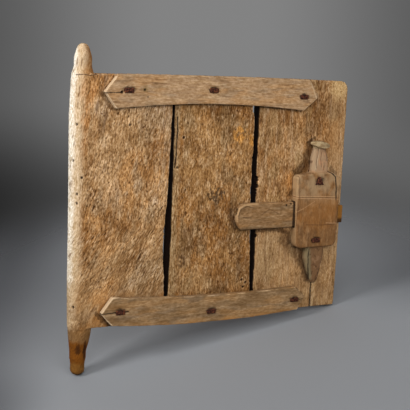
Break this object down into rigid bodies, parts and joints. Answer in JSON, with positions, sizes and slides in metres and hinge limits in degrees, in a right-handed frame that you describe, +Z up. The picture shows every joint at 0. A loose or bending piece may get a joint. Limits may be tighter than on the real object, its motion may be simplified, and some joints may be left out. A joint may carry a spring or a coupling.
{
  "type": "granary door leaf with wooden lock",
  "caption": "Hewn plank door leaf with integral top and bottom pivots, crosswise battens held by forged iron staples, and a carved wooden lock case with sliding bolt and drop tumblers.",
  "frame": {"origin": "on the hinge axis, at the lower end of the bottom pivot's round bearing band", "axes": "+X from the hinge axis towards the latch edge, -Y out of the front face that carries battens and lock, +Z up along the hinge axis"},
  "size_m": [0.573, 0.069, 0.6085],
  "materials": {
    "plank_wood": "adze-hewn, sun-dried, dry matte",
    "batten_wood": "hand-planed, dry matte",
    "lock_wood": "carved, lightly polished by handling",
    "bolt_wood": "carved, polished by handling",
    "forged_iron": "hand-forged wrought iron, dark brown oxide"
  },
  "bodies": {
    "leaf": {"hinge_plank": "plank_wood", "middle_plank": "plank_wood", "latch_plank": "plank_wood", "top_batten": "batten_wood", "bottom_batten": "batten_wood", "top_staple_hinge_side": "forged_iron", "top_staple_middle": "forged_iron", "top_staple_latch_side": "forged_iron", "bottom_staple_hinge_side": "forged_iron", "bottom_staple_middle": "forged_iron", "bottom_staple_latch_side": "forged_iron", "lock_staple_upper": "forged_iron", "lock_staple_lower": "forged_iron", "lock_case": "lock_wood"},
    "bolt": {"sliding_bolt": "bolt_wood"},
    "tumbler_1": {"tumbler_1": "forged_iron"},
    "tumbler_2": {"tumbler_2": "forged_iron"},
    "tumbler_3": {"tumbler_3": "forged_iron"}
  },
  "joints": [
    {"name": "bolt_slide", "type": "slide", "parent": "leaf", "child": "bolt", "axis": [1, 0, 0], "range_m": [-0.012, 0.04]},
    {"name": "tumbler_1_lift", "type": "slide", "parent": "leaf", "child": "tumbler_1", "axis": [0, 0, 1], "range_m": [0, 0.008]},
    {"name": "tumbler_2_lift", "type": "slide", "parent": "leaf", "child": "tumbler_2", "axis": [0, 0, 1], "range_m": [0, 0.008]},
    {"name": "tumbler_3_lift", "type": "slide", "parent": "leaf", "child": "tumbler_3", "axis": [0, 0, 1], "range_m": [0, 0.008]}
  ]
}
